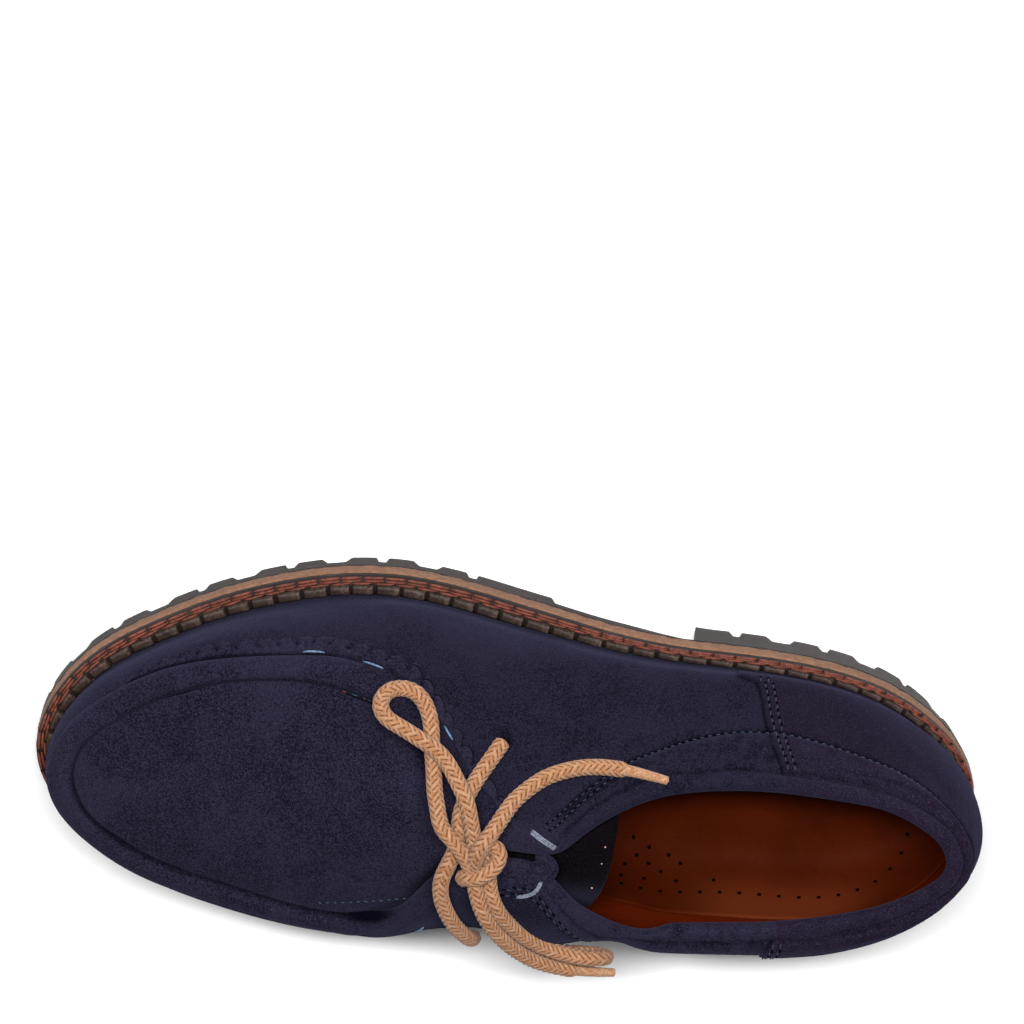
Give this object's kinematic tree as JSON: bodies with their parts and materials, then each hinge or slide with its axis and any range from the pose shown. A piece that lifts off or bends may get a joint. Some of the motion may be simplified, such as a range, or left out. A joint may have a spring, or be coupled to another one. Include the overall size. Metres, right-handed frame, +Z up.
{
  "type": "lace-up moccasin-toe shoe",
  "caption": "Right-foot low lace-up shoe with an apron toe, raised apron seam, padded collar, storm welt, midsole and lugged rubber outsole with a low heel.",
  "frame": {"origin": "centre of the shoe's box, on the floor, without its free laces", "axes": "+X to the toe, +Y to the inner (medial) side, +Z up"},
  "size_m": [0.289, 0.11, 0.0913],
  "materials": {
    "outsole": "matt dark grey rubber",
    "midsole": "tan pressed leather edge",
    "welt": "dark brown stitched welt",
    "upper": "navy suede",
    "tongue": "dark suede",
    "insole": "orange-tan footbed leather",
    "lace": "natural braided cord"
  },
  "bodies": {
    "root": {"outsole": "outsole", "midsole": "midsole", "welt": "welt", "upper": "upper", "tongue": "tongue", "insole": "insole", "lace_bars": "lace", "lace_knot": "lace", "lace_loop_outer": "lace", "lace_loop_inner": "lace", "lace_end_outer": "lace", "lace_end_inner": "lace"}
  },
  "joints": []
}
